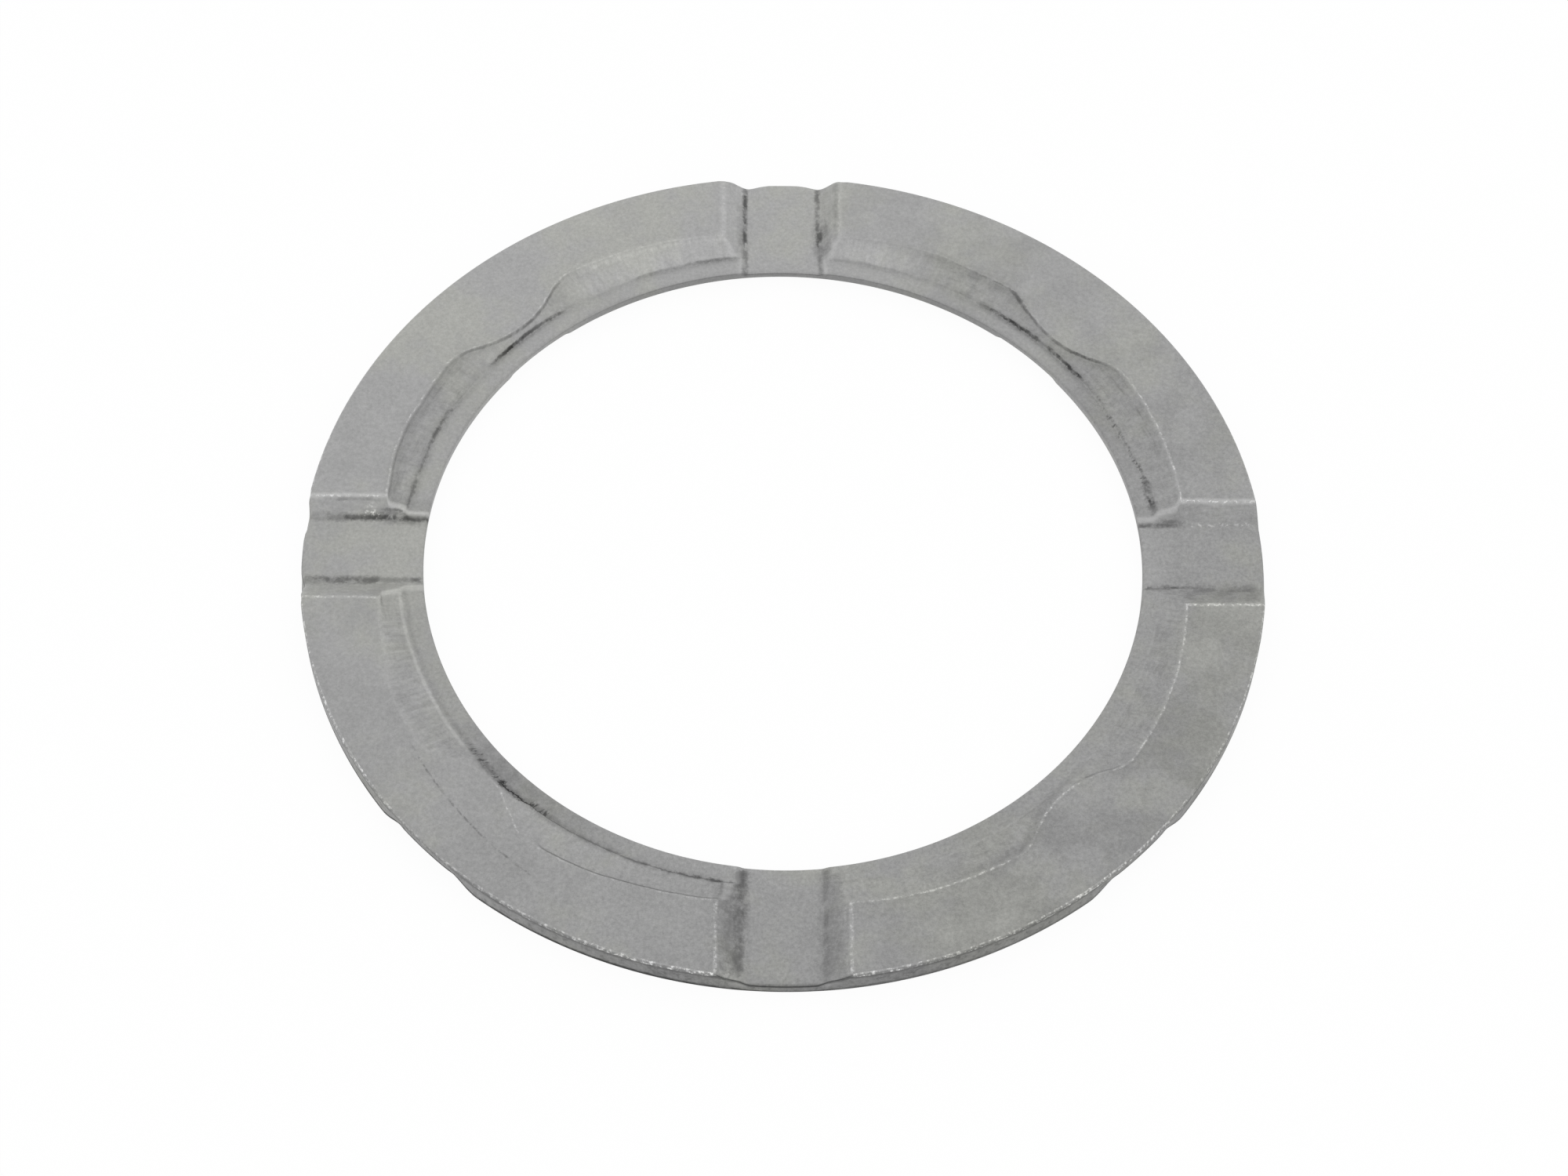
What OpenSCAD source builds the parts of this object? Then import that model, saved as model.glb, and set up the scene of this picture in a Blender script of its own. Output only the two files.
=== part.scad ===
// Forged steel thrust ring. Four radial grooves divide each face into four pads, and the
// grooves of the underside lie half a pitch round from those of the top. Every pad has a wavy
// inner edge with a rounded lobe at its middle, above a sunken ledge round the bore.
// The origin is on the ring's axis at its underside.

/* [Ring] */
// Outside diameter of the ring
outer_d = 120; // [112:1:160]
// Diameter of the bore
bore_d = 89.7; // [70:0.1:96]
// Thickness over the pads
thickness = 3.6; // [3.4:0.1:6]

/* [Grooves] */
// Number of grooves on each face
groove_count = 4; // [3:1:5]
// Depth of a groove below the pads
groove_depth = 1.4; // [1:0.1:2]
// Width of a groove between the edges of the pads
groove_top_w = 15.7; // [13:0.1:18]
// Width of a groove at its flat floor
groove_floor_w = 9.3; // [7:0.1:11]
// Radius of the hollow where a groove's wall meets its floor
groove_foot_r = 1.5; // [0.5:0.1:2]
// Radius of the rounded edge where a groove's wall meets the pad
groove_lip_r = 1; // [0.4:0.1:1.5]

/* [Relief round the bore] */
// Width of the ledge round the bore
ledge_w = 2.45; // [1.5:0.05:2.6]
// Depth of the ledge below the pads
ledge_depth = 1.1; // [0.95:0.05:1.2]
// Depth of the sloping floor below the pads where it meets the ledge
slope_low_depth = 0.9; // [0.7:0.05:0.9]
// Depth of the sloping floor below the pads where it ends under them
slope_high_depth = 0.4; // [0.25:0.05:0.5]
// Distance from the bore to the arc of a pad's inner edge, on the pad's middle line
pad_arc_reach = 6.95; // [6.4:0.05:7.4]
// Distance that the centre of this arc lies out from the ring's axis
pad_arc_shift = 6.4; // [4:0.1:8]
// Distance that a pad's lobe stands in from this arc
lobe_reach = 3.4; // [2.6:0.1:3.6]
// Radius of the lobe's tip
lobe_tip_r = 14; // [10:0.5:16]
// Radius of the hollow on each side of the lobe
lobe_side_r = 6; // [4:0.5:7]
// Slope of the pads' inner edges, in degrees from upright
pad_edge_draft = 40; // [20:1:50]

/* [Rounded edges] */
// Radius along the rim of the pads
rim_r = 0.35; // [0.2:0.05:0.6]
// Radius along the rim of the grooves
groove_rim_r = 0.9; // [0.4:0.05:1]
// Radius along the edges of the bore
bore_edge_r = 0.3; // [0.1:0.05:0.35]

/* [Hidden] */
$fn = 180;
arc_steps = 6;
overlap = 1;
crossing = 0.02;
outer_r = outer_d / 2;
bore_r = bore_d / 2;
pitch = 360 / groove_count;
groove_floor_z = thickness - groove_depth;
ledge_z = thickness - ledge_depth;
slope_low_z = thickness - slope_low_depth;
slope_high_z = thickness - slope_high_depth;
foot_r = bore_r + ledge_w;
pad_arc_end_r = bore_r + pad_arc_reach;
pad_arc_r = pad_arc_end_r - pad_arc_shift;
lobe_x = pad_arc_end_r - lobe_reach + lobe_tip_r;
groove_wall_angle = atan2(groove_depth, (groove_top_w - groove_floor_w) / 2);

// The hollow beside a lobe meets the lobe from outside and the pad's arc from inside. It crosses
// both by a little, because faces that only touch leave edges too short to mesh.
lobe_gap = lobe_x - pad_arc_shift;
to_lobe = lobe_tip_r + lobe_side_r - crossing;
to_arc = pad_arc_r - lobe_side_r + crossing;
hollow_x = pad_arc_shift + (lobe_gap * lobe_gap + to_arc * to_arc - to_lobe * to_lobe) / (2 * lobe_gap);
hollow_y = sqrt(to_arc * to_arc - pow(hollow_x - pad_arc_shift, 2));
hollow = [hollow_x, hollow_y];

// Points of an arc from one angle to another
function arc_points(centre, r, from, to) =
    [for (i = [0 : arc_steps]) centre + r * [cos(from + (to - from) * i / arc_steps),
                                             sin(from + (to - from) * i / arc_steps)]];

// Unit vector from one point towards another
function direction(from, to) = (to - from) / norm(to - from);

function mirrored(points) = [for (i = [len(points) - 1 : -1 : 0]) [-points[i][0], points[i][1]]];

// Right half of a groove's outline, from the floor up to the rounded edge of the pad
function groove_half() = let (
        foot_run = groove_foot_r * tan(groove_wall_angle / 2),
        lip_run = groove_lip_r * tan(groove_wall_angle / 2))
    concat(
        arc_points([groove_floor_w / 2 - foot_run, groove_floor_z + groove_foot_r],
                   groove_foot_r, -90, groove_wall_angle - 90),
        arc_points([groove_top_w / 2 + lip_run, thickness - groove_lip_r],
                   groove_lip_r, 90 + groove_wall_angle, 90));

// One drafted groove that runs out along +X, open above
module groove() {
    half = groove_half();
    edge = half[len(half) - 1];
    outline = concat(half, [[edge[0], thickness + overlap], [-edge[0], thickness + overlap]],
                     mirrored(half));
    translate([bore_r / 2, 0, 0]) rotate([90, 0, 90])
        linear_extrude(height = outer_r) polygon(outline);
}

// Cutter that rounds the rim at the outer end of a groove's floor
module groove_rim() {
    intersection() {
        rotate_extrude() polygon(concat(
            arc_points([outer_r - groove_rim_r, groove_floor_z - groove_rim_r], groove_rim_r, 90, 0),
            [[outer_r + overlap, groove_floor_z - groove_rim_r],
             [outer_r + overlap, groove_floor_z + overlap],
             [outer_r - groove_rim_r, groove_floor_z + overlap]]));
        translate([bore_r, -groove_floor_w / 2, 0]) cube([outer_r, groove_floor_w, thickness]);
    }
}

// Space above the sloping floor between the ledge and the pads, as a solid of revolution
module slope_space() {
    rotate_extrude() polygon([
        [foot_r - overlap, slope_low_z], [foot_r, slope_low_z], [pad_arc_end_r, slope_high_z],
        [pad_arc_end_r, thickness + overlap], [foot_r - overlap, thickness + overlap]]);
}

// Drafted round wall whose radius is given at the pads' face: lean 1 widens it upwards
module drafted_round(r, lean) {
    below = ledge_depth + overlap;
    change = tan(pad_edge_draft);
    translate([0, 0, thickness - below])
        cylinder(h = below + overlap, r1 = r - lean * below * change,
                 r2 = r + lean * overlap * change);
}

// What stands into a pad's arc: the lobe, and the web out to the hollow on each side of it
module lobe() {
    translate([lobe_x, 0, 0]) drafted_round(lobe_tip_r, -1);
    for (side = [-1, 1]) mirror([0, (1 - side) / 2, 0]) difference() {
        translate([0, 0, thickness - ledge_depth - overlap])
            linear_extrude(height = ledge_depth + 2 * overlap) polygon([
                hollow, hollow + direction(hollow, [lobe_x, 0]) * to_lobe / 2,
                hollow + direction([pad_arc_shift, 0], hollow) * (lobe_side_r + overlap)]);
        translate(hollow) drafted_round(lobe_side_r, 1);
    }
}

// Space inside the inner edges of all pads
module pad_edges() {
    for (i = [0 : groove_count - 1]) rotate([0, 0, (i + 0.5) * pitch]) difference() {
        translate([pad_arc_shift, 0, 0]) drafted_round(pad_arc_r, 1);
        lobe();
    }
}

// Everything that is sunk into one face
module face_relief() {
    intersection() {
        pad_edges();
        slope_space();
    }
    for (i = [0 : groove_count - 1]) rotate([0, 0, i * pitch]) {
        groove();
        groove_rim();
    }
}

// Ring with a rounded rim and a thinner ledge round the bore
module ring_blank() {
    rotate_extrude() polygon(concat(
        [[foot_r, 0]],
        arc_points([outer_r - rim_r, rim_r], rim_r, -90, 0),
        arc_points([outer_r - rim_r, thickness - rim_r], rim_r, 0, 90),
        [[foot_r, thickness], [foot_r, ledge_z]],
        arc_points([bore_r + bore_edge_r, ledge_z - bore_edge_r], bore_edge_r, 90, 180),
        arc_points([bore_r + bore_edge_r, ledge_depth + bore_edge_r], bore_edge_r, 180, 270),
        [[foot_r, ledge_depth]]));
}

module thrust_ring() {
    color("darkgray") difference() {
        ring_blank();
        face_relief();
        translate([0, 0, thickness]) mirror([0, 0, 1]) rotate([0, 0, pitch / 2]) face_relief();
    }
}

thrust_ring();
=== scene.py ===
import math

import bpy
from mathutils import Matrix, Vector


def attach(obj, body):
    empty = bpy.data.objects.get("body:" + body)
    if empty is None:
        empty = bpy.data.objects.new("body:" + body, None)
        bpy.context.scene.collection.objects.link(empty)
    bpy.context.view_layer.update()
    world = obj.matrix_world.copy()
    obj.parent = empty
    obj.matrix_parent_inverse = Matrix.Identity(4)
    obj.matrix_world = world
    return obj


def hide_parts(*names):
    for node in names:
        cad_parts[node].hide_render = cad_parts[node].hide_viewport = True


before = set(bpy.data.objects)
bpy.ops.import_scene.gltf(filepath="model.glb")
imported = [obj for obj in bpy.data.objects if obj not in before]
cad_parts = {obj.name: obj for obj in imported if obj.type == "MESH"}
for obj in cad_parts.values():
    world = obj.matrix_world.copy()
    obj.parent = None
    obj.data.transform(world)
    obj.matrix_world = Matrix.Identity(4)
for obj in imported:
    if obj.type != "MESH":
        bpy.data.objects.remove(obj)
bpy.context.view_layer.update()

mm = 0.001
print("frame loaded:", sorted(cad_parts))


# Node maths, for geometry trees and materials alike

class Wire:  # one output of a node
    def __init__(self, graph, socket):
        self.graph = graph
        self.socket = socket

    def part(self, name):
        return Wire(self.graph, self.socket.node.outputs[name])

    def maths(self, operation, *others):
        return self.graph.maths(operation, self, *others)

    def __add__(self, other):
        return self.graph.maths("ADD", self, other)

    def __radd__(self, other):
        return self.graph.maths("ADD", other, self)

    def __sub__(self, other):
        return self.graph.maths("SUBTRACT", self, other)

    def __rsub__(self, other):
        return self.graph.maths("SUBTRACT", other, self)

    def __mul__(self, other):
        return self.graph.maths("MULTIPLY", self, other)

    def __rmul__(self, other):
        return self.graph.maths("MULTIPLY", other, self)

    def __truediv__(self, other):
        return self.graph.maths("DIVIDE", self, other)

    def __gt__(self, other):
        return self.graph.maths("GREATER_THAN", self, other)

    def __abs__(self):
        return self.graph.maths("ABSOLUTE", self)


class Graph:  # a node tree that is built from Python
    def __init__(self, tree):
        self.tree = tree

    def add(self, kind, settings=None, inputs=None):
        node = self.tree.nodes.new(kind)
        for name, value in (settings or {}).items():
            if name == "stops":
                ramp = node.color_ramp.elements
                while len(ramp) < len(value):
                    ramp.new(1)
                for stop, (place, colour) in zip(ramp, value):
                    stop.position = place
                    stop.color = colour
            else:
                setattr(node, name, value)
        for name, value in (inputs or {}).items():
            if isinstance(value, Wire):
                self.tree.links.new(value.socket, node.inputs[name])
            else:
                node.inputs[name].default_value = value
        return Wire(self, node.outputs[0]) if len(node.outputs) else node

    def maths(self, operation, *values):
        return self.add("ShaderNodeMath", {"operation": operation}, dict(enumerate(values)))

    def straight(self, value, low, high):  # 0 below low, 1 above high, straight between
        return self.add("ShaderNodeMapRange", {"clamp": True}, {0: value, 1: low, 2: high})

    def ease(self, value, low, high):  # the same with soft ends
        return self.add("ShaderNodeMapRange", {"interpolation_type": "SMOOTHSTEP"},
                        {0: value, 1: low, 2: high})

    def blend(self, share, first, second):
        return self.add("ShaderNodeMix", {"data_type": "FLOAT"}, {0: share, 2: first, 3: second})

    def vector(self, x, y, z):
        return self.add("ShaderNodeCombineXYZ", None, {0: x, 1: y, 2: z})

    def noise(self, at, scale, detail=2.0, roughness=0.5, spread=0.0):
        return self.add("ShaderNodeTexNoise", {"noise_dimensions": "3D"},
                        {"Vector": at, "Scale": scale, "Detail": detail, "Roughness": roughness,
                         "Distortion": spread})


# The ring: one closed skin whose rows run round the axis and whose columns run round its section

ringSizes = {  # millimetres where no note says otherwise; the main ones are the part's own
    "outerRadius": 60.0,
    "boreRadius": 44.85,
    "thickness": 3.6,
    "grooveDepth": 1.4,
    "grooveTopWidth": 15.7,
    "grooveFloorWidth": 9.3,
    "grooveLipSoft": 0.12,
    "grooveFootSoft": 0.16,
    "grooveRimRadius": 0.7,
    "grooveEndRetreat": 0.5,  # how far the rim draws back at the feet of a groove's walls
    "grooveEndReach": 2.4,  # how far out from the foot it does so
    "grooveEndFoot": 0.54,  # place of the foot, as a share of the floor's width
    "grooveEndSkewFront": -1.7,  # the same over the floor, narrower at the front
    "grooveEndSkewBack": -0.75,
    "grooveEndFront": 0.6,  # share of the retreat at the front
    "grooveEndBelow": 0.15,  # share of the retreat on the underside
    "grooveEndPlain": 4.0,  # degrees to the floor that ends without it
    "padCornerRetreat": 0.12,  # how far the rim draws back at the corners of the pads
    "padCornerReach": 1.1,
    "padCornerInset": 0.2,
    "padRimRadius": 0.35,
    "boreEdgeRadius": 0.3,
    "ledgeWidth": 2.45,
    "ledgeShift": 0.2,  # the ledge is wider on the left, as the tool sat off centre
    "ledgeShiftTowards": 190.0,  # degrees
    "ledgeDepth": 1.1,
    "footStepHalf": 0.16,  # half the width of the step between ledge and slope
    "footStepWorn": 1.1,  # the same where the tool was worn and left no crease
    "footStray": 0.3,  # how far the step strays
    "wornTowards": 317.0,  # degrees to the middle of the worn stretch
    "slopeLowDepth": 0.82,
    "slopeHighDepth": 0.4,
    "slopeHighWorn": 0.8,  # share of that depth which is gone where the pad's edge is soft
    "slopeRun": 4.6,  # distance over which the slope falls from high to low
    "padEdgeRun": 0.45,  # width of the short steep edge of a pad
    "padEdgeSoft": 2.4,  # how much wider it is where it is soft
    "padArcReach": 6.95,
    "padArcShift": 6.4,
    "lobeReach": 3.4,
    "lobeTipRadius": 14.0,
    "lobeSideRadius": 6.0,
    "lobeTurn": 0.92,  # degrees that the lobes lie off the pads' middle lines
    "lobeTurnSwing": 0.67,  # more of it on the right, less on the left
    "lobeTurnFade": 8.0,  # degrees from a groove's middle over which it comes in
    "edgeWander": 0.22,  # how far a pad's inner edge strays, as forged
    "faceWaver": 0.05,  # how far the sunk faces rise and fall
    "wallWaver": 2.0,  # shares of it in the grooves' walls, in their floors and in the other faces
    "floorWaver": 0.6,
    "slopeWaver": 0.5,
    "wanderScale": 0.16,  # how fine each noise is, in a millimetre
    "waverScale": 0.22,
    "footStrayScale": 0.35,
    "parallelUntil": 9.0,  # degrees from a groove up to which the columns run along it
    "radialFrom": 27.0,  # degrees from a groove past which they run out from the axis
    "closeBefore": 0.75,  # the close columns start this far inside a groove's foot
    "closeBeyond": 0.95,  # and end this far past its lip
    "closeInside": 0.8,  # the close rows start this far inside a pad's edge
    "closeOutside": 0.2,  # and end this far outside it
    "closeGap": 0.05,  # the least distance that they keep from the step
    "seed": 4.0,
}
ringRows = {"boreEdge": 4, "ledge": 4, "footStep": 8, "slope": 7, "padEdge": 10, "pad": 8, "rim": 6,
            "outerWall": 5, "boreWall": 3}
ringColumns = {"grooveFloor": 4, "grooveWall": 24, "pad": 50}
grooveCount = 4
mergeWithin = 0.000001
storedNames = ("insidePad", "acrossGroove", "pastFoot", "pastLip", "overRim")  # for the steel to read

# Where the forging strays from the rule: degrees round the ring, degrees to either side, millimetres
edgeStrays = ((57, 10, -0.6), (163, 8, 0.3), (208, 12, 0.75), (230.4, 4.6, 0.8), (254, 10, -0.2))
lipStrays = ((7.5, 5, -0.3), (82.5, 5, -0.5), (172.5, 5, -0.4), (187.5, 5, -0.25))
footStrays = ((22, 9, -0.3), (158, 8, 0.3), (225, 6, 0.25))

# Where the step between ledge and slope is soft: degrees, degrees to either side, how soft
fadedStretches = ((7, 5, 0.5), (66, 9, 0.45), (88, 8, 0.3), (120, 7, 0.6), (147.5, 5.5, 0.8),
                  (174, 6, 0.55), (203, 24, 0.6), (219, 12, 0.9))
softStretches = ((19, 15, 0.45), (228, 9, 0.7))  # and where the pad's edge is soft too
fullWithin = 0.6  # share of such a stretch that is at its full softness

# Long stretches by the cosine of the angle off their middle: where they start and are full
wornSpan = (0.66, 0.86)
softLeft = (208, 0.935, 0.965, 1.0)  # degrees first, and how soft last
softBack = (86, 0.76, 0.86, 0.42)
plainEndSpan = (0.95, 0.985)
towardsBack = (-0.9, 0.3)  # sines between which the groove ends change from front to back


def ringTree():
    tree = bpy.data.node_groups.new("grooved ring", "GeometryNodeTree")
    for name in ringSizes:
        tree.interface.new_socket(name=name, in_out="INPUT", socket_type="NodeSocketFloat")
    tree.interface.new_socket(name="material", in_out="INPUT", socket_type="NodeSocketMaterial")
    tree.interface.new_socket(name="Geometry", in_out="OUTPUT", socket_type="NodeSocketGeometry")
    g = Graph(tree)
    given = g.add("NodeGroupInput")
    size = {name: given.part(name) for name in ringSizes}
    halfPitch = math.pi / grooveCount
    degree = math.pi / 180
    outer = size["outerRadius"]
    bore = size["boreRadius"]

    # Where the arcs of a pad's inner edge meet
    arcEnd = bore + size["padArcReach"]
    shift = size["padArcShift"]
    arcRadius = arcEnd - shift
    tip = size["lobeTipRadius"]
    side = size["lobeSideRadius"]
    lobeX = arcEnd - size["lobeReach"] + tip
    gap = lobeX - shift
    toLobe = tip + side
    toArc = arcRadius - side
    hollowX = shift + (gap * gap + toArc * toArc - toLobe * toLobe) / (2 * gap)
    hollowY = (toArc * toArc - (hollowX - shift) * (hollowX - shift)).maths("SQRT")
    hollowReach = (hollowX * hollowX + hollowY * hollowY).maths("SQRT")
    hollowAngle = hollowY.maths("ARCTAN2", hollowX)
    lobeEnd = (hollowY - hollowY * side / toLobe).maths(
        "ARCTAN2", hollowX + (lobeX - hollowX) * side / toLobe)
    hollowEnd = (hollowY + hollowY * side / toArc).maths(
        "ARCTAN2", hollowX + (hollowX - shift) * side / toArc)

    def onCircle(reach, radius, angle, way):  # distance along a ray to a circle's near or far side
        off = reach * angle.maths("SINE")
        return reach * angle.maths("COSINE") + way * (radius * radius - off * off).maths(
            "MAXIMUM", 0).maths("SQRT")

    def padEdge(angle):  # radius of the inner edge, by the angle from the pad's middle line
        onLobe = onCircle(lobeX, tip, angle, -1)
        onHollow = onCircle(hollowReach, side, angle - hollowAngle, 1)
        onArc = onCircle(shift, arcRadius, angle, 1)
        return g.blend(angle > hollowEnd, g.blend(angle > lobeEnd, onLobe, onHollow), onArc)

    # Station of each row on its face, and how far up it is between the two faces
    stops = [0]
    for name in ("boreEdge", "ledge", "footStep", "slope", "padEdge", "pad", "rim"):
        stops.append(stops[-1] + ringRows[name])
    last = stops[-1]
    allRows = 2 * last + ringRows["outerWall"] + ringRows["boreWall"]
    eighth = 2 * (ringColumns["grooveFloor"] + ringColumns["grooveWall"]) + ringColumns["pad"]
    allColumns = 2 * grooveCount * eighth
    grid = g.add("GeometryNodeMeshGrid", None,
                 {"Size X": allColumns, "Size Y": allRows,
                  "Vertices X": allColumns + 1, "Vertices Y": allRows + 1})
    cell = g.add("ShaderNodeSeparateXYZ", None, {0: g.add("GeometryNodeInputPosition")})
    column = (cell.part("X") + allColumns / 2).maths("ROUND")
    row = (cell.part("Y") + allRows / 2).maths("ROUND")
    back = 2 * last + ringRows["outerWall"]
    station = row.maths("MINIMUM", back - row).maths("MINIMUM", last).maths("MAXIMUM", 0)
    upper = ((1 - g.straight(row, last, last + ringRows["outerWall"]))
             + g.straight(row, back, allRows))

    # Angle of each column at the rim: close together over the walls of the grooves
    sector = (column / eighth).maths("FLOOR")
    within = column - sector * eighth
    floorEnd = ((size["grooveFloorWidth"] / 2 - size["closeBefore"]) / outer).maths("ARCSINE")
    wallEnd = ((size["grooveTopWidth"] / 2 + size["closeBeyond"]) / outer).maths("ARCSINE")
    n1 = ringColumns["grooveFloor"]
    n2 = n1 + ringColumns["grooveWall"]
    n3 = n2 + ringColumns["pad"]
    n4 = n3 + ringColumns["grooveWall"]
    nominal = (sector * halfPitch
               + floorEnd * (g.straight(within, 0, n1) + g.straight(within, n4, eighth))
               + (wallEnd - floorEnd) * (g.straight(within, n1, n2) + g.straight(within, n3, n4))
               + (halfPitch - 2 * wallEnd) * g.straight(within, n2, n3))

    def around(middle, start, full):  # 1 about an angle, by the cosine of the angle off it
        return g.ease((nominal - middle).maths("COSINE"), start, full)

    def bulge(strays):  # the strays of one edge
        total = 0
        for middle, reach, amount in strays:
            total = total + amount * around(middle * degree, math.cos(reach * degree), 1)
        return total

    def softer(least, stretches):  # how soft an edge is
        for middle, reach, share in stretches:
            least = least.maths("MAXIMUM", share * around(
                middle * degree, math.cos(reach * degree), math.cos(reach * fullWithin * degree)))
        return least

    edgeBulge = bulge(edgeStrays)
    footBulge = bulge(footStrays)
    lipBulge = bulge(lipStrays)
    worn = around(size["wornTowards"] * degree, *wornSpan)
    soft = worn
    for middle, start, full, share in (softLeft, softBack):
        soft = soft.maths("MAXIMUM", share * around(middle * degree, start, full))
    soft = softer(soft, softStretches)
    faded = softer(worn, fadedStretches)
    toBack = g.ease(nominal.maths("SINE"), *towardsBack)

    def facePoint(turn):  # radius, angle, depth and distance from the pad's edge on one face
        onTop = turn == 0
        fromGroove = (nominal - turn).maths("WRAP", halfPitch, -halfPitch)
        parallel = 1 - g.ease(abs(fromGroove), size["parallelUntil"] * degree,
                              size["radialFrom"] * degree)
        foot = (bore + size["ledgeWidth"] + size["ledgeShift"]
                * (nominal - size["ledgeShiftTowards"] * degree).maths("COSINE"))
        if onTop:
            foot = foot + footBulge
        lobesOff = (size["lobeTurn"] + size["lobeTurnSwing"] * nominal.maths("COSINE")) * degree

        def fromPad(angle):  # angle from the pad's middle line to either side
            way = (angle / (size["lobeTurnFade"] * degree)).maths("MINIMUM", 1).maths("MAXIMUM", -1)
            return abs(halfPitch - abs(angle) - way * lobesOff)

        def turned(radius):  # columns run parallel to a groove near it, and radially elsewhere
            straightAngle = (outer * fromGroove.maths("SINE") / radius).maths(
                "MINIMUM", 0.99).maths("MAXIMUM", -0.99).maths("ARCSINE")
            return fromGroove + (straightAngle - fromGroove) * parallel

        def spot(radius, angle):  # where the noises are read
            there = nominal - fromGroove + angle
            return g.vector(there.maths("COSINE") * radius, there.maths("SINE") * radius,
                            size["seed"] * 10 + turn * 50)

        def strayed(at, scale, roughness, reach):  # noise to either side of 0
            return (g.noise(at, scale, 3.0, roughness) - 0.5) * 2 * reach

        firstEdge = padEdge(fromPad(fromGroove))
        edgeAngle = turned(firstEdge)
        stray = strayed(spot(firstEdge, edgeAngle), size["wanderScale"], 0.6, size["edgeWander"])
        if onTop:
            stray = stray + edgeBulge
        edge = padEdge(fromPad(edgeAngle)) + stray
        lip = size["boreEdgeRadius"]
        boreTurn = g.straight(station, stops[0], stops[1]) * (math.pi / 2)
        rimTurn = g.straight(station, stops[6], stops[7]) * (math.pi / 2)
        atRim = abs(outer * fromGroove.maths("SINE"))
        grooveShare = 1 - g.ease(atRim, size["grooveFloorWidth"] / 2, size["grooveTopWidth"] / 2)
        rim = g.blend(grooveShare, size["padRimRadius"], size["grooveRimRadius"])

        # The rim draws back at the ends of the grooves' walls
        offFoot = atRim - size["grooveFloorWidth"] * size["grooveEndFoot"]
        skew = g.blend(toBack, size["grooveEndSkewFront"], size["grooveEndSkewBack"])
        offFoot = offFoot.maths("MAXIMUM", offFoot * skew)
        offCorner = abs(atRim - size["grooveTopWidth"] / 2 + size["padCornerInset"])
        retreat = (size["grooveEndRetreat"] * (1 - g.ease(offFoot, 0, size["grooveEndReach"]))
                   + size["padCornerRetreat"] * (1 - g.ease(offCorner, 0, size["padCornerReach"])))
        if onTop:
            plain = around(size["grooveEndPlain"] * degree, *plainEndSpan)
            retreat = retreat * g.blend(toBack, size["grooveEndFront"], 1) * (1 - plain)
        else:
            retreat = retreat * size["grooveEndBelow"]
        outerEdge = outer - retreat

        half = size["footStepHalf"] * 2
        stepHalf = g.blend(faded, size["footStepHalf"], size["footStepWorn"])
        edgeStart = (edge - size["closeInside"]).maths("MAXIMUM", foot + half + size["closeGap"])
        edgeStop = edge + size["closeOutside"]
        radius = (bore + lip * (1 - boreTurn.maths("COSINE"))
                  + (foot - half - bore - lip) * g.straight(station, stops[1], stops[2])
                  + 2 * half * g.straight(station, stops[2], stops[3])
                  + (edgeStart - foot - half) * g.straight(station, stops[3], stops[4])
                  + (edgeStop - edgeStart) * g.straight(station, stops[4], stops[5])
                  + (outerEdge - rim - edgeStop) * g.straight(station, stops[5], stops[6])
                  + rim * rimTurn.maths("SINE"))
        angle = turned(radius)
        at = spot(radius, angle)
        waver = strayed(at, size["waverScale"], 0.55, size["faceWaver"])

        # The sunk floor inside the pads: a short steep edge, a cove, a step and the ledge
        inside = padEdge(fromPad(angle)) + stray - radius
        steep = g.ease(inside, 0.0, size["padEdgeRun"] * (1 + size["padEdgeSoft"] * soft))
        high = size["slopeHighDepth"] * (1 - size["slopeHighWorn"] * soft)
        run = (inside / size["slopeRun"]).maths("MAXIMUM", 0).maths("MINIMUM", 1)
        fall = g.blend(soft, 1 - (1 - run) * (1 - run), run * run * (3 - 2 * run))
        cove = high * steep + (size["slopeLowDepth"] - high) * fall
        pastFoot = radius + strayed(at, size["footStrayScale"], 0.6, size["footStray"] / 2) - foot
        onSlope = g.ease(pastFoot, 0 - stepHalf, stepHalf)
        sunk = g.blend(onSlope, size["ledgeDepth"] + waver * size["slopeWaver"],
                       cove + waver * steep * size["slopeWaver"])

        # The groove, with drafted walls
        across = abs(radius * angle.maths("SINE"))
        top = size["grooveTopWidth"] / 2
        if onTop:
            top = top + lipBulge
        floor = size["grooveFloorWidth"] / 2
        wall = (top - across + waver * size["wallWaver"]) / (top - floor) * size["grooveDepth"]
        groove = g.maths("SMOOTH_MIN", wall, size["grooveDepth"] + waver * size["floorWaver"],
                         size["grooveFootSoft"])
        depth = g.maths("SMOOTH_MAX", sunk, groove, size["grooveLipSoft"])
        drop = lip * (1 - boreTurn.maths("SINE")) + rim * (1 - rimTurn.maths("COSINE"))
        return (radius, nominal - fromGroove + angle, depth + drop, inside, across, pastFoot,
                groove - sunk)

    top = facePoint(0.0)
    bottom = facePoint(halfPitch)
    radius, angle, _, inside, across, pastFoot, pastLip = (
        g.blend(upper, below, above) for below, above in zip(bottom, top))
    height = g.blend(upper, bottom[2], size["thickness"] - top[2])
    place = g.vector(radius * angle.maths("COSINE"), radius * angle.maths("SINE"), height)
    scaled = g.add("ShaderNodeVectorMath", {"operation": "SCALE"}, {0: place, "Scale": mm})
    overRim = (g.straight(row, stops[6], last) + g.straight(row, last, last + ringRows["outerWall"])
               + g.straight(row, back - last, back - stops[6]))
    skin = grid
    for name, value in zip(storedNames, (inside, across, pastFoot, pastLip, overRim)):
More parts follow.
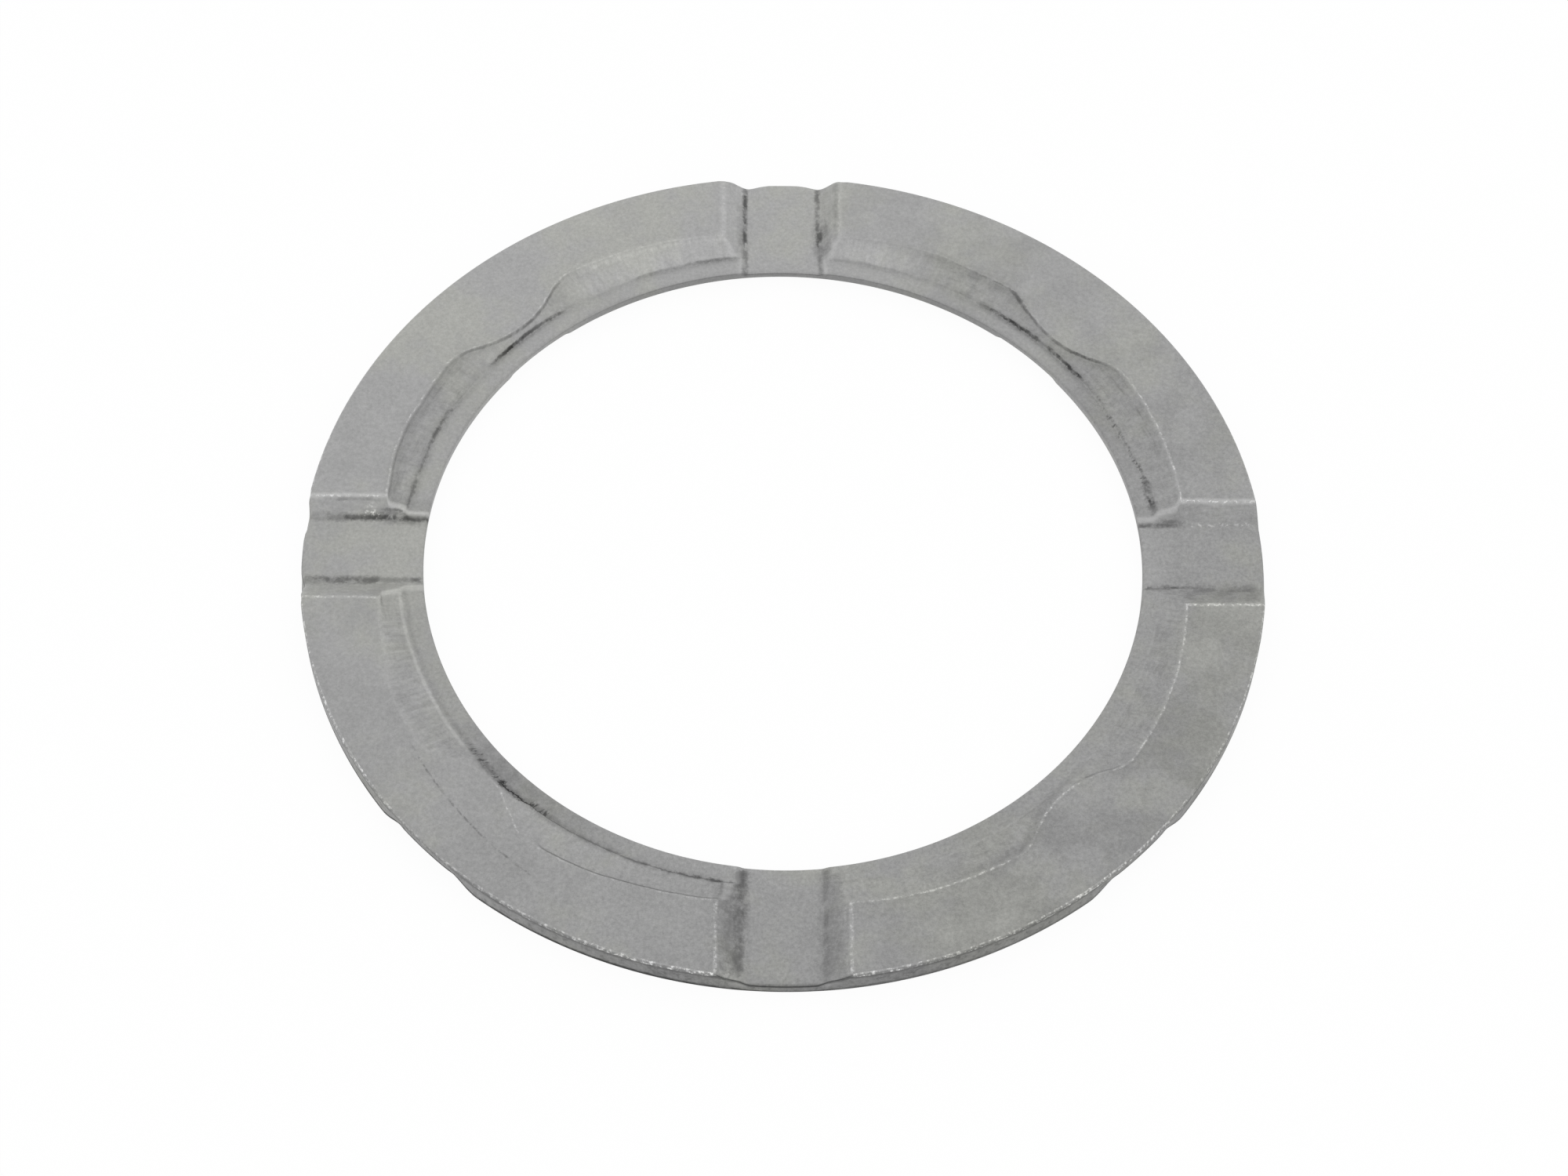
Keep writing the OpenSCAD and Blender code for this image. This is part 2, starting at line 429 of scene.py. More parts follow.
        # Kept before the points move, as the values read the grid
        skin = g.add("GeometryNodeStoreNamedAttribute", {"data_type": "FLOAT", "domain": "POINT"},
                     {"Geometry": skin, "Name": name, "Value": value})
    skin = g.add("GeometryNodeSetPosition", None, {"Geometry": skin, "Position": scaled})
    skin = g.add("GeometryNodeMergeByDistance", None, {"Geometry": skin, "Distance": mergeWithin})
    skin = g.add("GeometryNodeFlipFaces", None, {"Mesh": skin})
    skin = g.add("GeometryNodeSetShadeSmooth", None, {"Geometry": skin, "Shade Smooth": True})
    skin = g.add("GeometryNodeRealizeInstances", None, {"Geometry": skin})
    skin = g.add("GeometryNodeSetMaterial", None,
                 {"Geometry": skin, "Material": given.part("material")})
    g.add("NodeGroupOutput", None, {"Geometry": skin})
    return tree


# The steel: satin grey as forged and blasted, with residue in the creases, bright worn edges, and
# painted shade, light and glints

steel = {  # sizes in millimetres, strengths as shares of the tone
    "grey": 0.385,
    "paintedLightSide": 0.085,  # painted light and shade: the whole ring is lighter on one side and darker on the other
    "paintedLightTowards": 118.0,  # degrees
    "cloudSize": 20.0,
    "clouds": 0.11,
    "mottleSize": 4.5,
    "mottle": 0.12,
    "grainSize": 0.45,
    "grain": 0.2,
    "fineGrain": 0.12,
    "finer": 2.8,  # how many times finer that is
    "rougherFront": 0.3,  # more of the grain towards the front and the right
    "rougherWay": (0.6, -0.8),
    "rougherSpan": (-25, 35),
    "slopeShade": 0.22,
    "slopeShadeFlecks": 0.2,
    "strokes": 0.34,  # strokes that run out over the slopes
    "brushed": 0.3,  # more of them on the brushed stretch
    "ledgeShade": 0.25,
    "wallShade": 0.08,
    "wallHatch": 0.3,
    "slopeLight": 0.16,
    "edgeWearAndSheen": (0.04, 0.34),  # worn edges and painted sheen along the pads' edges: even, and with the strokes
    "padShade": (0.02, 0.17),  # dark on the pads: even, and in patches
    "outerWall": (0.16, 0.14),  # darker outer wall: everywhere as forged, and painted shade that adds more at the front
    "outerWallSpan": (0.75, 0.98),
    "boreWall": (0.06, 0.26),  # painted shade on the bore wall: everywhere, and more at the back
    "boreWallSpan": (0.6, 0.95),
    "line": 0.85,  # darkness of the crease's line and of the other residue
    "footShade": 0.3,
    "edgeShadeLine": 0.7,
    "edgeShade": 0.17,
    "padCrease": 0.36,
    "streak": 0.72,
    "below": 0.5,
    "scuffs": 0.3,
    "glintTone": 0.9,
    "olive": (0.995, 1.0, 0.95),
    "neutral": (1.0, 1.0, 0.998),
    "oliveSpan": (0.42, 0.66),
    "roughness": 0.5,
    "bump": 0.35,
    "bumpHeight": 0.04,
    "seed": 7.0,
}

# Millimetres between which each surface begins, in its place or in the value stored for it
surfaces = {
    "top": (1.2, 1.8),
    "pastLip": (-0.15, 0.05),
    "offPad": (-0.3, 0.1),
    "pastRidge": (-0.2, 0.3),
    "underPad": (0.0, 0.5),
    "slope": (-0.1, 0.2),
    "ledge": (-0.25, 0.0),
    "grooveWall": (4.4, 4.9),
    "outerPart": (57, 58),
    "outerWall": (59.75, 59.98),
    "boreWall": (44.86, 44.95),
}

# Noise patches: which noise, patches in a millimetre, detail, roughness and where they turn on
patterns = {
    "blotches": (43, 0.5, 4.0, 0.65, 0.36, 0.62),
    "patches": (11, 0.15, 4.0, 0.62, 0.40, 0.62),
    "broken": (5, 0.6, 3.0, 0.7, 0.32, 0.6),
    "specks": (71, 2.1, 2.0, 0.7, 0.45, 0.72),
    "scuffs": (23, 0.9, 4.0, 0.75, 0.48, 0.66),
}

# Noise laid round the ring: how many in a radian, how many in a millimetre out from the bore,
# which noise, detail and roughness
lays = {
    "strokes": (73.5, 0.22, 5, 3.0, 0.65),
    "rings": (7, 1.7, 7, 4.0, 0.65),
    "dots": (103.4, 1.6, 9, 2.0, 0.6),
    "hairs": (112.8, 0.9, 21, 2.0, 0.6),
}
dotSpan = (0.46, 0.6)
hairSpan = (0.5, 0.61)
hairSlant = 150  # how far the hairs lean, in their own millimetres over one turn

# Stretches in degrees: start, full, fading and end
stretches = {
    "brushed": (183, 188, 214, 222),
    "tear": (224, 225, 230.5, 232),
    "tuftsBefore": (213, 220, 226, 228),
    "tuftsAfter": (229.5, 231, 233, 235),
    "padCrease": (211, 216, 234, 240),
}

# What is added near some angles: degrees, full to this many either side, gone past this many
# and how much
lineWidths = ((250, 12, 20, 0.2), (0, 12, 17, 0.3), (0, 29, 35, 0.15), (160, 8, 14, 0.16))
lineStrays = ((161, 10, 15, 0.7), (45, 9, 14, 0.35))
edgeWedges = ((52, 0.6, 3, 1.4),)

# Bands beside an edge: how much they wander, how far off they lie, half their width, the pattern
# that breaks them and their strengths between its specks and on them
bands = {
    "footShade": (1, -0.1, 0.9, "broken", 0.45, 1),
    "edgeShadeLine": (0.3, 0.16, 0.24, "broken", 0.25, 1),
    "edgeShade": (0.5, 0.4, 1.3, "broken", 0.6, 1),
    "edgeGlint": (0.35, -0.1, 0.17, "specks", 0.06, 0.8),
    "lipGlint": (0.1, -0.03, 0.15, "specks", 0.1, 1),
    "lipSheen": (0.15, -0.05, 0.3, "comb", 0.12, 0.48),
    "ridgeGlint": (0.2, -0.1, 0.36, "comb", 0.3, 0.65),
    "rimGlint": (0.08, 61.1, 0.11, "specks", 0.2, 1.3),
    "footGlint": (0.4, 0.35, 0.4, "comb", 0.04, 0.3),
}

# Shade round the outer wall, by rows from the rim's top at 0 over its edge at 1 to its foot at 2:
# where it starts, how ragged it is and how dark
rimShade = {
    "start": (0.7, 1.0),
    "stop": (1.08, 1.34),
    "ragged": 0.35,
    "pastFloor": 0.25,
    "dark": (0.44, 0.7),  # beside the pads and beside the grooves
    "floorStart": (0.8, 1.0),
    "floorDark": 0.2,
    "footStart": (1.76, 1.96),
    "footRagged": 0.4,
    "footDark": (0.45, 0.8),
    "footTowards": 228,  # degrees to where the foot is darkest
    "footSpan": (0.55, 0.95),
}

# How strong each mark is round the ring, by the angle in degrees from the right
marksRound = {
    "footLine": (
        (0, 0.0), (8, 0.0), (9, 0.9), (13.5, 1.0), (15, 0.6), (27, 0.55), (33, 0.4), (36, 0.9),
        (46, 0.75), (53, 1.0), (57, 0.3), (66, 0.15), (90, 0.2), (99, 0.45), (113, 0.3), (116, 0.0),
        (127, 0.0), (128.5, 0.9), (132, 0.5), (138, 1.0), (142, 0.5), (144, 0.0), (149, 0.1),
        (153, 0.6), (172, 0.5), (178, 0.1), (219, 0.0), (223, 0.3), (236, 0.38), (247, 0.5),
        (264, 0.85), (270, 0.0)),
    "footShade": (
        (0, 0.0), (28, 0.15), (36, 0.6), (53, 0.75), (60, 0.15), (98, 0.1), (115, 0.15), (125, 0.2),
        (138, 0.5), (150, 0.3), (170, 0.6), (178, 0.1), (186, 0.6), (192, 0.35), (205, 0.45),
        (215, 0.6), (228, 1.0), (242, 0.5), (262, 0.35), (270, 0.0)),
    "ledgeShade": (
        (0, 0.2), (15, 0.36), (30, 0.68), (38, 0.4), (45, 0.0), (60, 0.48), (72, 0.0), (105, 0.0),
        (120, 0.22), (135, 0.07), (150, 0.22), (180, 0.15), (195, 0.36), (210, 0.25), (218, 0.7),
        (225, 1.0), (234, 0.8), (242, 0.35), (255, 0.0), (285, 0.12), (303, 0.38), (315, 0.1),
        (330, 0.25), (360, 0.2)),
    "edgeShadeLine": (
        (0, 0.0), (30, 0.0), (35, 0.3), (38, 1.0), (41, 0.6), (47, 0.4), (51, 0.9), (56, 0.55),
        (64, 0.3), (75, 0.0), (120, 0.0), (127, 0.35), (135, 0.7), (139, 0.5), (145, 0.3),
        (150, 0.05), (235, 0.0), (239, 0.5), (247, 0.48), (262, 0.15), (275, 0.0), (304, 0.0),
        (308, 0.6), (311, 0.0), (315, 0.0), (318, 0.5), (321, 0.4), (325, 0.0)),
    "edgeShade": (
        (0, 0.1), (15, 0.1), (32, 0.35), (48, 0.25), (54, 0.9), (68, 0.6), (76, 0.1), (118, 0.0),
        (127, 0.45), (133, 0.0), (142, 0.3), (152, 0.6), (172, 0.6), (178, 0.1), (190, 0.1),
        (230, 0.0), (238, 0.15), (290, 0.1), (302, 0.9), (310, 0.8), (315, 0.1), (321, 0.4),
        (328, 0.1)),
    "edgeGlint": (
        (0, 0.6), (9, 0.7), (30, 0.6), (34, 0.2), (40, 0.1), (46, 0.1), (49, 0.6), (52, 0.1),
        (78, 0.15), (95, 0.2), (122, 0.3), (127, 0.6), (133, 0.2), (140, 0.3), (150, 0.5),
        (172, 0.5), (188, 0.15), (224, 0.05), (226.5, 0.7), (231, 0.55), (235, 0.2), (258, 0.35),
        (272, 0.6), (300, 0.7), (306, 0.5), (312, 1.0), (316, 0.5), (319, 0.1), (324, 0.6),
        (345, 0.75), (360, 0.6)),
    "edgeWearAndSheen": (
        (0, 0.2), (25, 0.3), (33, 0.0), (72, 0.0), (92, 0.5), (104, 1.0), (120, 1.0), (127, 0.3),
        (134, 0.0), (150, 0.0), (190, 0.4), (212, 0.4), (222, 0.0), (255, 0.0), (300, 0.0),
        (340, 0.1), (360, 0.2)),
    "lipSheen": (
        (0, 0.0), (4, 0.3), (8, 0.75), (20, 0.6), (60, 0.25), (82, 0.3), (98, 0.35), (130, 0.3),
        (168, 0.7), (174, 0.7), (178, 0.0)),
    "lipGlint": (
        (0, 0.9), (20, 0.9), (45, 0.3), (80, 0.25), (97, 0.3), (120, 0.3), (160, 0.7), (178, 0.8),
        (190, 0.65), (230, 0.3), (262, 0.45), (274, 0.5), (290, 0.4), (330, 0.7), (360, 0.9)),
    "ridgeGlint": (
        (0, 0.6), (30, 0.6), (60, 0.3), (110, 0.25), (150, 0.8), (176, 0.9), (183, 0.5), (240, 0.5),
        (268, 0.4), (272, 0.0), (356, 0.0), (360, 0.6)),
    "rimGlint": (
        (0, 0.25), (20, 0.25), (60, 0.05), (90, 0.05), (140, 0.1), (165, 0.35), (180, 0.5),
        (195, 0.5), (203, 0.9), (212, 0.8), (222, 0.3), (238, 0.45), (250, 0.7), (262, 0.85),
        (268, 1.0), (275, 1.0), (286, 0.6), (300, 0.45), (306, 0.9), (314, 0.75), (322, 0.5),
        (345, 0.55), (360, 0.4)),
    "slopeShade": (
        (0, 0.1), (20, 0.55), (38, 0.7), (43, 0.3), (52, 0.6), (64, 0.5), (70, 0.0), (122, 0.0),
        (127, 0.35), (130, 0.0), (141, 0.0), (147, 0.5), (172, 0.65), (181, 0.1), (190, 0.3),
        (205, 0.2), (215, 0.3), (228, 0.0), (262, 0.1), (285, 0.1), (298, 0.5), (308, 0.3),
        (315, 0.0), (330, 0.45), (345, 0.4), (360, 0.1)),
    "slopeLight": (
        (0, 0.0), (68, 0.0), (75, 0.7), (112, 0.8), (122, 0.4), (126, 0.0), (131, 0.0), (134, 0.6),
        (138, 0.3), (143, 0.0)),
    "padShade": (
        (0, 0.4), (15, 0.5), (28, 0.65), (38, 0.4), (46, 0.35), (56, 0.6), (70, 0.4), (84, 0.3),
        (95, 0.05), (150, 0.1), (175, 0.25), (205, 0.3), (240, 0.15), (265, 0.2), (283, 0.4),
        (300, 0.8), (318, 0.75), (330, 1.0), (345, 0.8), (360, 0.4)),
}

# Residue and wear beside the grooves: degrees of the groove, millimetres along and across it,
# the width of the streak and how strong it is. A negative strength is bright: worn specks with a
# painted glint.
streaks = (
    (90, 49.4, 59.8, 5.1, 0.55, 0.95), (90, 45.0, 48.8, 5.05, 0.6, 0.6),
    (90, 49.0, 56.0, 5.25, 1.1, 0.3), (90, 49.6, 52.0, -4.75, 0.8, 1.0),
    (90, 48.2, 53.2, -5.1, 1.7, 0.42), (90, 52.0, 59.6, -4.5, 0.5, 0.7),
    (90, 45.0, 48.6, -4.9, 0.6, 0.5), (90, 51.0, 59.5, -7.0, 0.6, 0.22),
    (270, 45.5, 52.0, -5.1, 1.5, 0.72), (270, 50.5, 59.2, -5.35, 1.3, 0.66),
    (270, 46.5, 59.4, -6.2, 2.7, 0.42), (270, 58.5, 59.6, -6.6, 1.4, -0.25),
    (270, 44.8, 59.8, 5.0, 0.85, 0.42), (270, 46.0, 59.6, 5.6, 2.2, 0.3),
    (180, 54.0, 59.2, -5.0, 0.85, 0.5), (180, 49.0, 55.6, -5.05, 0.62, 1.0),
    (180, 44.6, 48.2, -5.0, 0.75, 1.0), (180, 48.0, 50.2, -5.9, 0.35, 0.9),
    (180, 44.8, 50.0, -4.6, 0.9, 0.4), (180, 51.0, 51.9, -5.8, 1.3, -1.0),
    (180, 48.2, 52.4, -5.6, 0.5, 0.5), (180, 51.5, 57.8, -7.2, 0.35, 0.4),
    (180, 50.5, 59.5, 4.3, 0.95, 0.75), (180, 46.8, 50.9, 4.25, 0.7, 0.45),
    (180, 44.8, 46.9, 4.25, 0.6, 0.7), (0, 45.0, 50.0, 4.75, 0.5, 0.65),
    (0, 48.0, 50.2, 5.2, 0.4, 0.5), (0, 51.0, 59.6, 4.85, 0.34, -0.4),
    (0, 44.9, 48.4, -4.6, 0.55, 0.9), (0, 48.4, 52.0, -4.55, 0.32, 0.8),
    (0, 50.5, 59.2, -4.8, 1.2, 0.42), (0, 50.0, 59.5, -6.2, 1.8, 0.26),
)

# Lighter and darker fields in the grooves: degrees of the groove, from and to along it, middle
# across it, half its width and the change of tone
panels = (
    (90, 50.5, 59.5, 6.2, 1.8, 0.06), (90, 50.5, 59.5, -6.2, 1.8, -0.03),
    (0, 48.0, 61.0, 0.0, 5.0, -0.06), (0, 44.0, 50.0, 6.2, 1.8, -0.05),
    (270, 50.0, 59.5, -6.2, 1.8, 0.05), (270, 44.0, 51.0, 6.2, 1.8, 0.04),
    (270, 48.0, 61.0, 0.0, 4.8, -0.035), (180, 44.0, 50.5, -6.0, 1.9, -0.07),
    (180, 51.5, 61.0, -6.2, 1.8, 0.05), (180, 51.0, 61.0, 6.2, 1.8, 0.05),
    (180, 54.0, 61.0, 0.0, 4.6, -0.03),
)

streakFade = (0.6, 0.45)  # millimetres over which a streak ends, and its most as a share of the length
streakWander = (0.7, 1.2)  # how far a streak wanders sideways and at its ends
streakWhole = (0.96, 0.7, 0.3)  # from what strength it is nearly whole, and how whole it is then or not
panelSoft = (0.8, 0.2)  # millimetres inside and outside a field's edge over which it fades


def steelMaterial():
    material = bpy.data.materials.new("satinForgedSteel")
    material.use_nodes = True
    material.node_tree.nodes.clear()
    g = Graph(material.node_tree)
    at = g.add("ShaderNodeVectorMath", {"operation": "SCALE"},
               {0: g.add("ShaderNodeTexCoord").part("Object"), "Scale": 1 / mm})
    place = g.add("ShaderNodeSeparateXYZ", None, {0: at})
    x, y, z = place.part("X"), place.part("Y"), place.part("Z")
    radius = (x * x + y * y).maths("SQRT")
    turn = (y.maths("ARCTAN2", x) / (2 * math.pi)).maths("FRACT")
    angle = turn * 360
    inside, across, pastFoot, pastLip, overRim = (
        g.add("ShaderNodeAttribute", {"attribute_name": name}).part("Fac") for name in storedNames)
    seed = steel["seed"]

    def shifted(step):
        return g.add("ShaderNodeVectorMath", {"operation": "ADD"},
                     {0: at, 1: (seed * 3.1 + step, seed * 1.7 - step, step * 2.3)})

    def strengthOf(name):  # strength of a mark by the angle round the ring
        stops = [(where / 360, (value, value, value, 1)) for where, value in marksRound[name]]
        return g.add("ShaderNodeValToRGB", {"stops": stops}, {0: turn}).part("Color")

    def near(value, middle, width):  # 1 at the middle, softly down to 0 at the width
        return 1 - g.ease(abs(value - middle), width * 0.15, width)

    def swing(noise, share):
        return 1 + (noise - 0.5) * (share * 2)

    def spanned(mask, low, high):
        return low + (high - low) * mask

    def surface(name, value):
        return g.ease(value, *surfaces[name])

    def pattern(name):
        step, scale, detail, roughness, low, high = patterns[name]
        return g.ease(g.noise(shifted(step), scale, detail, roughness), low, high)

    def laid(name, slant=0):
        perRadian, perMillimetre, step, detail, roughness = lays[name]
        out = radius * perMillimetre + turn * slant
        return g.noise(g.vector(turn * (2 * math.pi * perRadian), out, step), 1.0, detail, roughness)

    def stretch(name):
        start, full, fading, end = stretches[name]
        return g.ease(angle, start, full) * (1 - g.ease(angle, fading, end))

    def varied(least, places):
        for middle, full, gone, more in places:
            least = least + more * (1 - g.ease(abs(angle - middle), full, gone))
        return least

    # Tone of the bare steel, with painted light and shade making one side of the ring lighter
    lean = math.radians(steel["paintedLightTowards"])
    paintedLightSide = (x * math.cos(lean) + y * math.sin(lean)) / ringSizes["outerRadius"]
    clouds = g.noise(at, 1 / steel["cloudSize"], 3.0, 0.55)
    mottle = g.noise(shifted(31), 1 / steel["mottleSize"], 3.0, 0.6)
    grain = g.noise(shifted(57), 1 / steel["grainSize"], 2.0, 0.6)
    fine = g.noise(shifted(83), steel["finer"] / steel["grainSize"], 1.0, 0.5)
    wayX, wayY = steel["rougherWay"]
    rougher = 1 + steel["rougherFront"] * g.ease(x * wayX + y * wayY, *steel["rougherSpan"])
    tone = (steel["grey"] * (1 + paintedLightSide * steel["paintedLightSide"]) * swing(clouds, steel["clouds"])
            * swing(mottle, steel["mottle"]) * swing(grain, steel["grain"] * rougher)
            * swing(fine, steel["fineGrain"] * rougher))

    # Where each surface is
    top = surface("top", z)
    onLand = 1 - surface("pastLip", pastLip)
    onPad = onLand * (1 - surface("offPad", inside))
    onSlope = onLand * surface("underPad", inside) * surface("slope", pastFoot)
    sidewall = surface("outerWall", radius)
    boreWall = 1 - surface("boreWall", radius)
    onLedge = onLand * (1 - surface("ledge", pastFoot)) * (1 - boreWall)
    onWall = (1 - onLand) * surface("grooveWall", across)

    # Strokes, flecks and fields on them, with painted shade on the slopes and the ledge and painted
    # light on some slopes and along the pads' edges
    strokes = laid("strokes")
    rings = laid("rings")
    blotches = pattern("blotches")
    brushed = stretch("brushed")
    # painted shade on the slopes, with darker flecks in it
    slopeShade = strengthOf("slopeShade") * onSlope
    shaded = slopeShade * steel["slopeShade"] * spanned(blotches, 0.6, 1.4)
    tone = tone * (1 - shaded * swing(rings, 0.8))
    tone = tone * (1 + onSlope * (strokes - 0.5) * (steel["strokes"] + steel["brushed"] * brushed))
    tone = tone * (1 - slopeShade * steel["slopeShadeFlecks"] * g.ease(rings, 0.5, 0.66) * blotches)
    uneven = spanned(blotches, 0.7, 1.3)
    # painted shade on the ledge
    tone = tone * (1 - strengthOf("ledgeShade") * onLedge * steel["ledgeShade"] * uneven)
    hatch = g.noise(g.vector(across * 2.6, radius * 0.55, (turn * 8).maths("FLOOR") * 3.7),
                    1.0, 3.0, 0.65)
    tone = tone * (1 - onWall * (steel["wallShade"] * blotches + steel["wallHatch"] * (hatch - 0.5)))
    # painted light on the slopes at the back
    tone = tone * (1 + steel["slopeLight"] * strengthOf("slopeLight") * onSlope)
    even, stroked = steel["edgeWearAndSheen"]
    # worn edges with a painted sheen along the pads' edges
    edgeWearAndSheen = near(inside, 0.2, 0.85) * strengthOf("edgeWearAndSheen") * onLand
    tone = tone * (1 + edgeWearAndSheen * (even + stroked * (strokes - 0.3).maths("MAXIMUM", 0)))
    alongs = {0: (x, y), 90: (y, 0 - x), 180: (0 - x, 0 - y), 270: (0 - y, x)}
    softIn, softOut = panelSoft
    for degrees, start, stop, middle, width, change in panels:
        along, side = alongs[degrees]
        there = g.ease(along, start - 1, start + 1) * (1 - g.ease(along, stop - 1, stop + 1))
        there = there * (1 - g.ease(abs(side - middle), width - softIn, width + softOut)) * uneven
        tone = tone * (1 + there * top * change)
    even, patched = steel["padShade"]
    tone = tone * (1 - strengthOf("padShade") * onPad * (even + patched * pattern("patches")))

    # Residue in the ledge's crease, with hairs and a tear
    broken = pattern("broken")
    specks = pattern("specks")
    comb = g.noise(shifted(65), 2.4, 2.0, 0.6)
    masks = {"broken": broken, "specks": specks, "comb": comb}
    ragged = (g.noise(shifted(19), 0.7, 4.0, 0.7) - 0.5) * 0.7
    spread = spanned(comb, 0.35, 1.65)
    dots = g.ease(laid("dots"), *dotSpan)
    dotted = g.blend(g.ease(angle, 31, 35), dots.maths("MAXIMUM", 0.95 - g.ease(angle, 13, 15)), 1)
    strayed = pastFoot + ragged * varied(0.5, lineStrays) + (comb - 0.5) * 0.3
    line = (near(strayed, 0.0, varied(0.3, lineWidths) * spread) * strengthOf("footLine")
            * spanned(broken, 0.15, 1) * dotted)
    torn = (g.noise(shifted(97), 1.0, 4.0, 0.8) - 0.5) * 2.0
    line = line.maths("MAXIMUM", near(pastFoot + torn, 0.0, 0.36 * spread) * stretch("tear"))
    hairs = g.ease(laid("hairs", hairSlant), *hairSpan)
    tufts = stretch("tuftsBefore") + stretch("tuftsAfter")
    line = line.maths("MAXIMUM", near(pastFoot, -0.25, 0.9) * hairs * tufts * 0.75)

    def band(name, distance, wide=1, strength=None):
        wander, middle, width, mask, low, high = bands[name]
        there = near(distance + ragged * wander, middle, width * wide)
        return there * (strength or strengthOf(name)) * spanned(masks[mask], low, high)

    # Painted shade beside the ledge's crease and the edges of the pads
    footShade = band("footShade", pastFoot)
    edgeShadeLine = band("edgeShadeLine", inside, spread * varied(1, edgeWedges))
    edgeShade = band("edgeShade", inside)
    # the crease's residue together with that painted shade
    dark = onLand * (line * steel["line"]).maths("MAXIMUM", footShade * steel["footShade"]).maths(
        "MAXIMUM", edgeShadeLine * steel["edgeShadeLine"]).maths("MAXIMUM", edgeShade * steel["edgeShade"])

    # A faint crease across one pad
    crease = near(radius - 53.4 - (angle - 216) * 0.085 + ragged * 0.6, 0, 0.2 * spread)
    crease = crease * stretch("padCrease") * broken * g.ease(comb, 0.36, 0.55)
    dark = dark.maths("MAXIMUM", crease * steel["padCrease"])

    # Bright worn specks and painted glints on the edges
    glint = band("edgeGlint", inside, 0.7 + comb) * onLand
    lip = band("lipGlint", pastLip).maths("MAXIMUM", band("lipSheen", pastLip))
    ridge = band("ridgeGlint", pastLip) * 0.7
    glint = glint.maths("MAXIMUM", g.blend(surface("pastRidge", inside), lip, ridge))
    glint = glint.maths("MAXIMUM", band("footGlint", pastFoot, 1, brushed) * onLand)
    glint = glint.maths("MAXIMUM", band("rimGlint", radius + z * 0.35) * onLand)

    # Streaks beside the grooves
    sideways, endways = streakWander
    fade, fadeShare = streakFade
    fromStrength, wholeThen, wholeElse = streakWhole
    for degrees, start, stop, middle, width, strength in streaks:
        along, side = alongs[degrees]
        along = along + (broken - 0.5) * endways
        end = min(fade, fadeShare * (stop - start))
        there = g.ease(along, start - end, start + end) * (1 - g.ease(along, stop - end, stop + end))
        there = there * near(side + ragged * sideways, middle, width * spread)
        if strength > 0:
            whole = wholeThen if strength > fromStrength else wholeElse
            there = there * (strength * steel["streak"]) * spanned(broken, whole, 1)
            dark = dark.maths("MAXIMUM", there)
        else:
            glint = glint.maths("MAXIMUM", there * -strength * specks)
    dark = dark * top
    glint = glint * top

    # Creases of the underside hold some residue too, and the outer wall is scuffed
    below = (near(across, 4.7, 0.5) + near(pastFoot, 0, 0.35) * onLand).maths("MINIMUM", 1)
    dark = dark.maths("MAXIMUM", (1 - top) * below * broken * steel["below"])
    dark = dark.maths("MAXIMUM", sidewall * pattern("scuffs") * steel["scuffs"])

    # Shade under the rim, past the grooves' floors and along the foot of the outer wall
    atFloor = 1 - onLand
    outerPart = surface("outerPart", radius)
    rimEnd = overRim + ragged * rimShade["ragged"] - atFloor * rimShade["pastFloor"]
    underRim = g.ease(overRim, *rimShade["start"]) * (1 - g.ease(rimEnd, *rimShade["stop"]))
    dark = dark.maths("MAXIMUM", underRim * spanned(atFloor, *rimShade["dark"]))
    pastFloor = g.ease(overRim, *rimShade["floorStart"]) * outerPart * atFloor
    dark = dark.maths("MAXIMUM", pastFloor * rimShade["floorDark"])
    lowEdge = g.ease(overRim + ragged * rimShade["footRagged"], *rimShade["footStart"]) * outerPart
    towards = turn * (2 * math.pi) - math.radians(rimShade["footTowards"])
    frontLeft = g.ease(towards.maths("COSINE"), *rimShade["footSpan"])
    dark = dark.maths("MAXIMUM", lowEdge * spanned(frontLeft, *rimShade["footDark"]))

    # All of it together
    # painted shade on the outer wall, deeper at the front, over its darker forged skin
    even, front = steel["outerWall"]
    inFront = g.ease(0 - y / radius, *steel["outerWallSpan"])
    tone = tone * (1 - (even + front * inFront) * sidewall * swing(strokes, 0.6))
    # painted shade on the bore wall, deeper at the back
    even, rear = steel["boreWall"]
    tone = tone * (1 - boreWall * (even + rear * g.ease(y / radius, *steel["boreWallSpan"])))
    tone = g.blend(glint, tone * (1 - dark), steel["glintTone"])
    tint = g.add("ShaderNodeMix", {"data_type": "RGBA"},
                 {0: g.ease(clouds + (mottle - 0.5) * 0.5, *steel["oliveSpan"]),
                  6: (*steel["neutral"], 1), 7: (*steel["olive"], 1)}).part("Result")
    colour = g.add("ShaderNodeVectorMath", {"operation": "SCALE"}, {0: tint, "Scale": tone})
    roughness = steel["roughness"] + (mottle - 0.5) * 0.12 + dark * 0.2 - glint * 0.12
    height = (grain - 0.5) * 0.6 + (fine - 0.5) * 0.25 + (strokes - 0.5) * onSlope * 0.8
    bump = g.add("ShaderNodeBump", None,
                 {"Strength": steel["bump"], "Distance": steel["bumpHeight"] * mm, "Height": height})
    shader = g.add("ShaderNodeBsdfPrincipled", None,
                   {"Base Color": colour, "Metallic": 1.0, "Roughness": roughness, "Normal": bump})
    g.add("ShaderNodeOutputMaterial", None, {"Surface": shader})
    return material


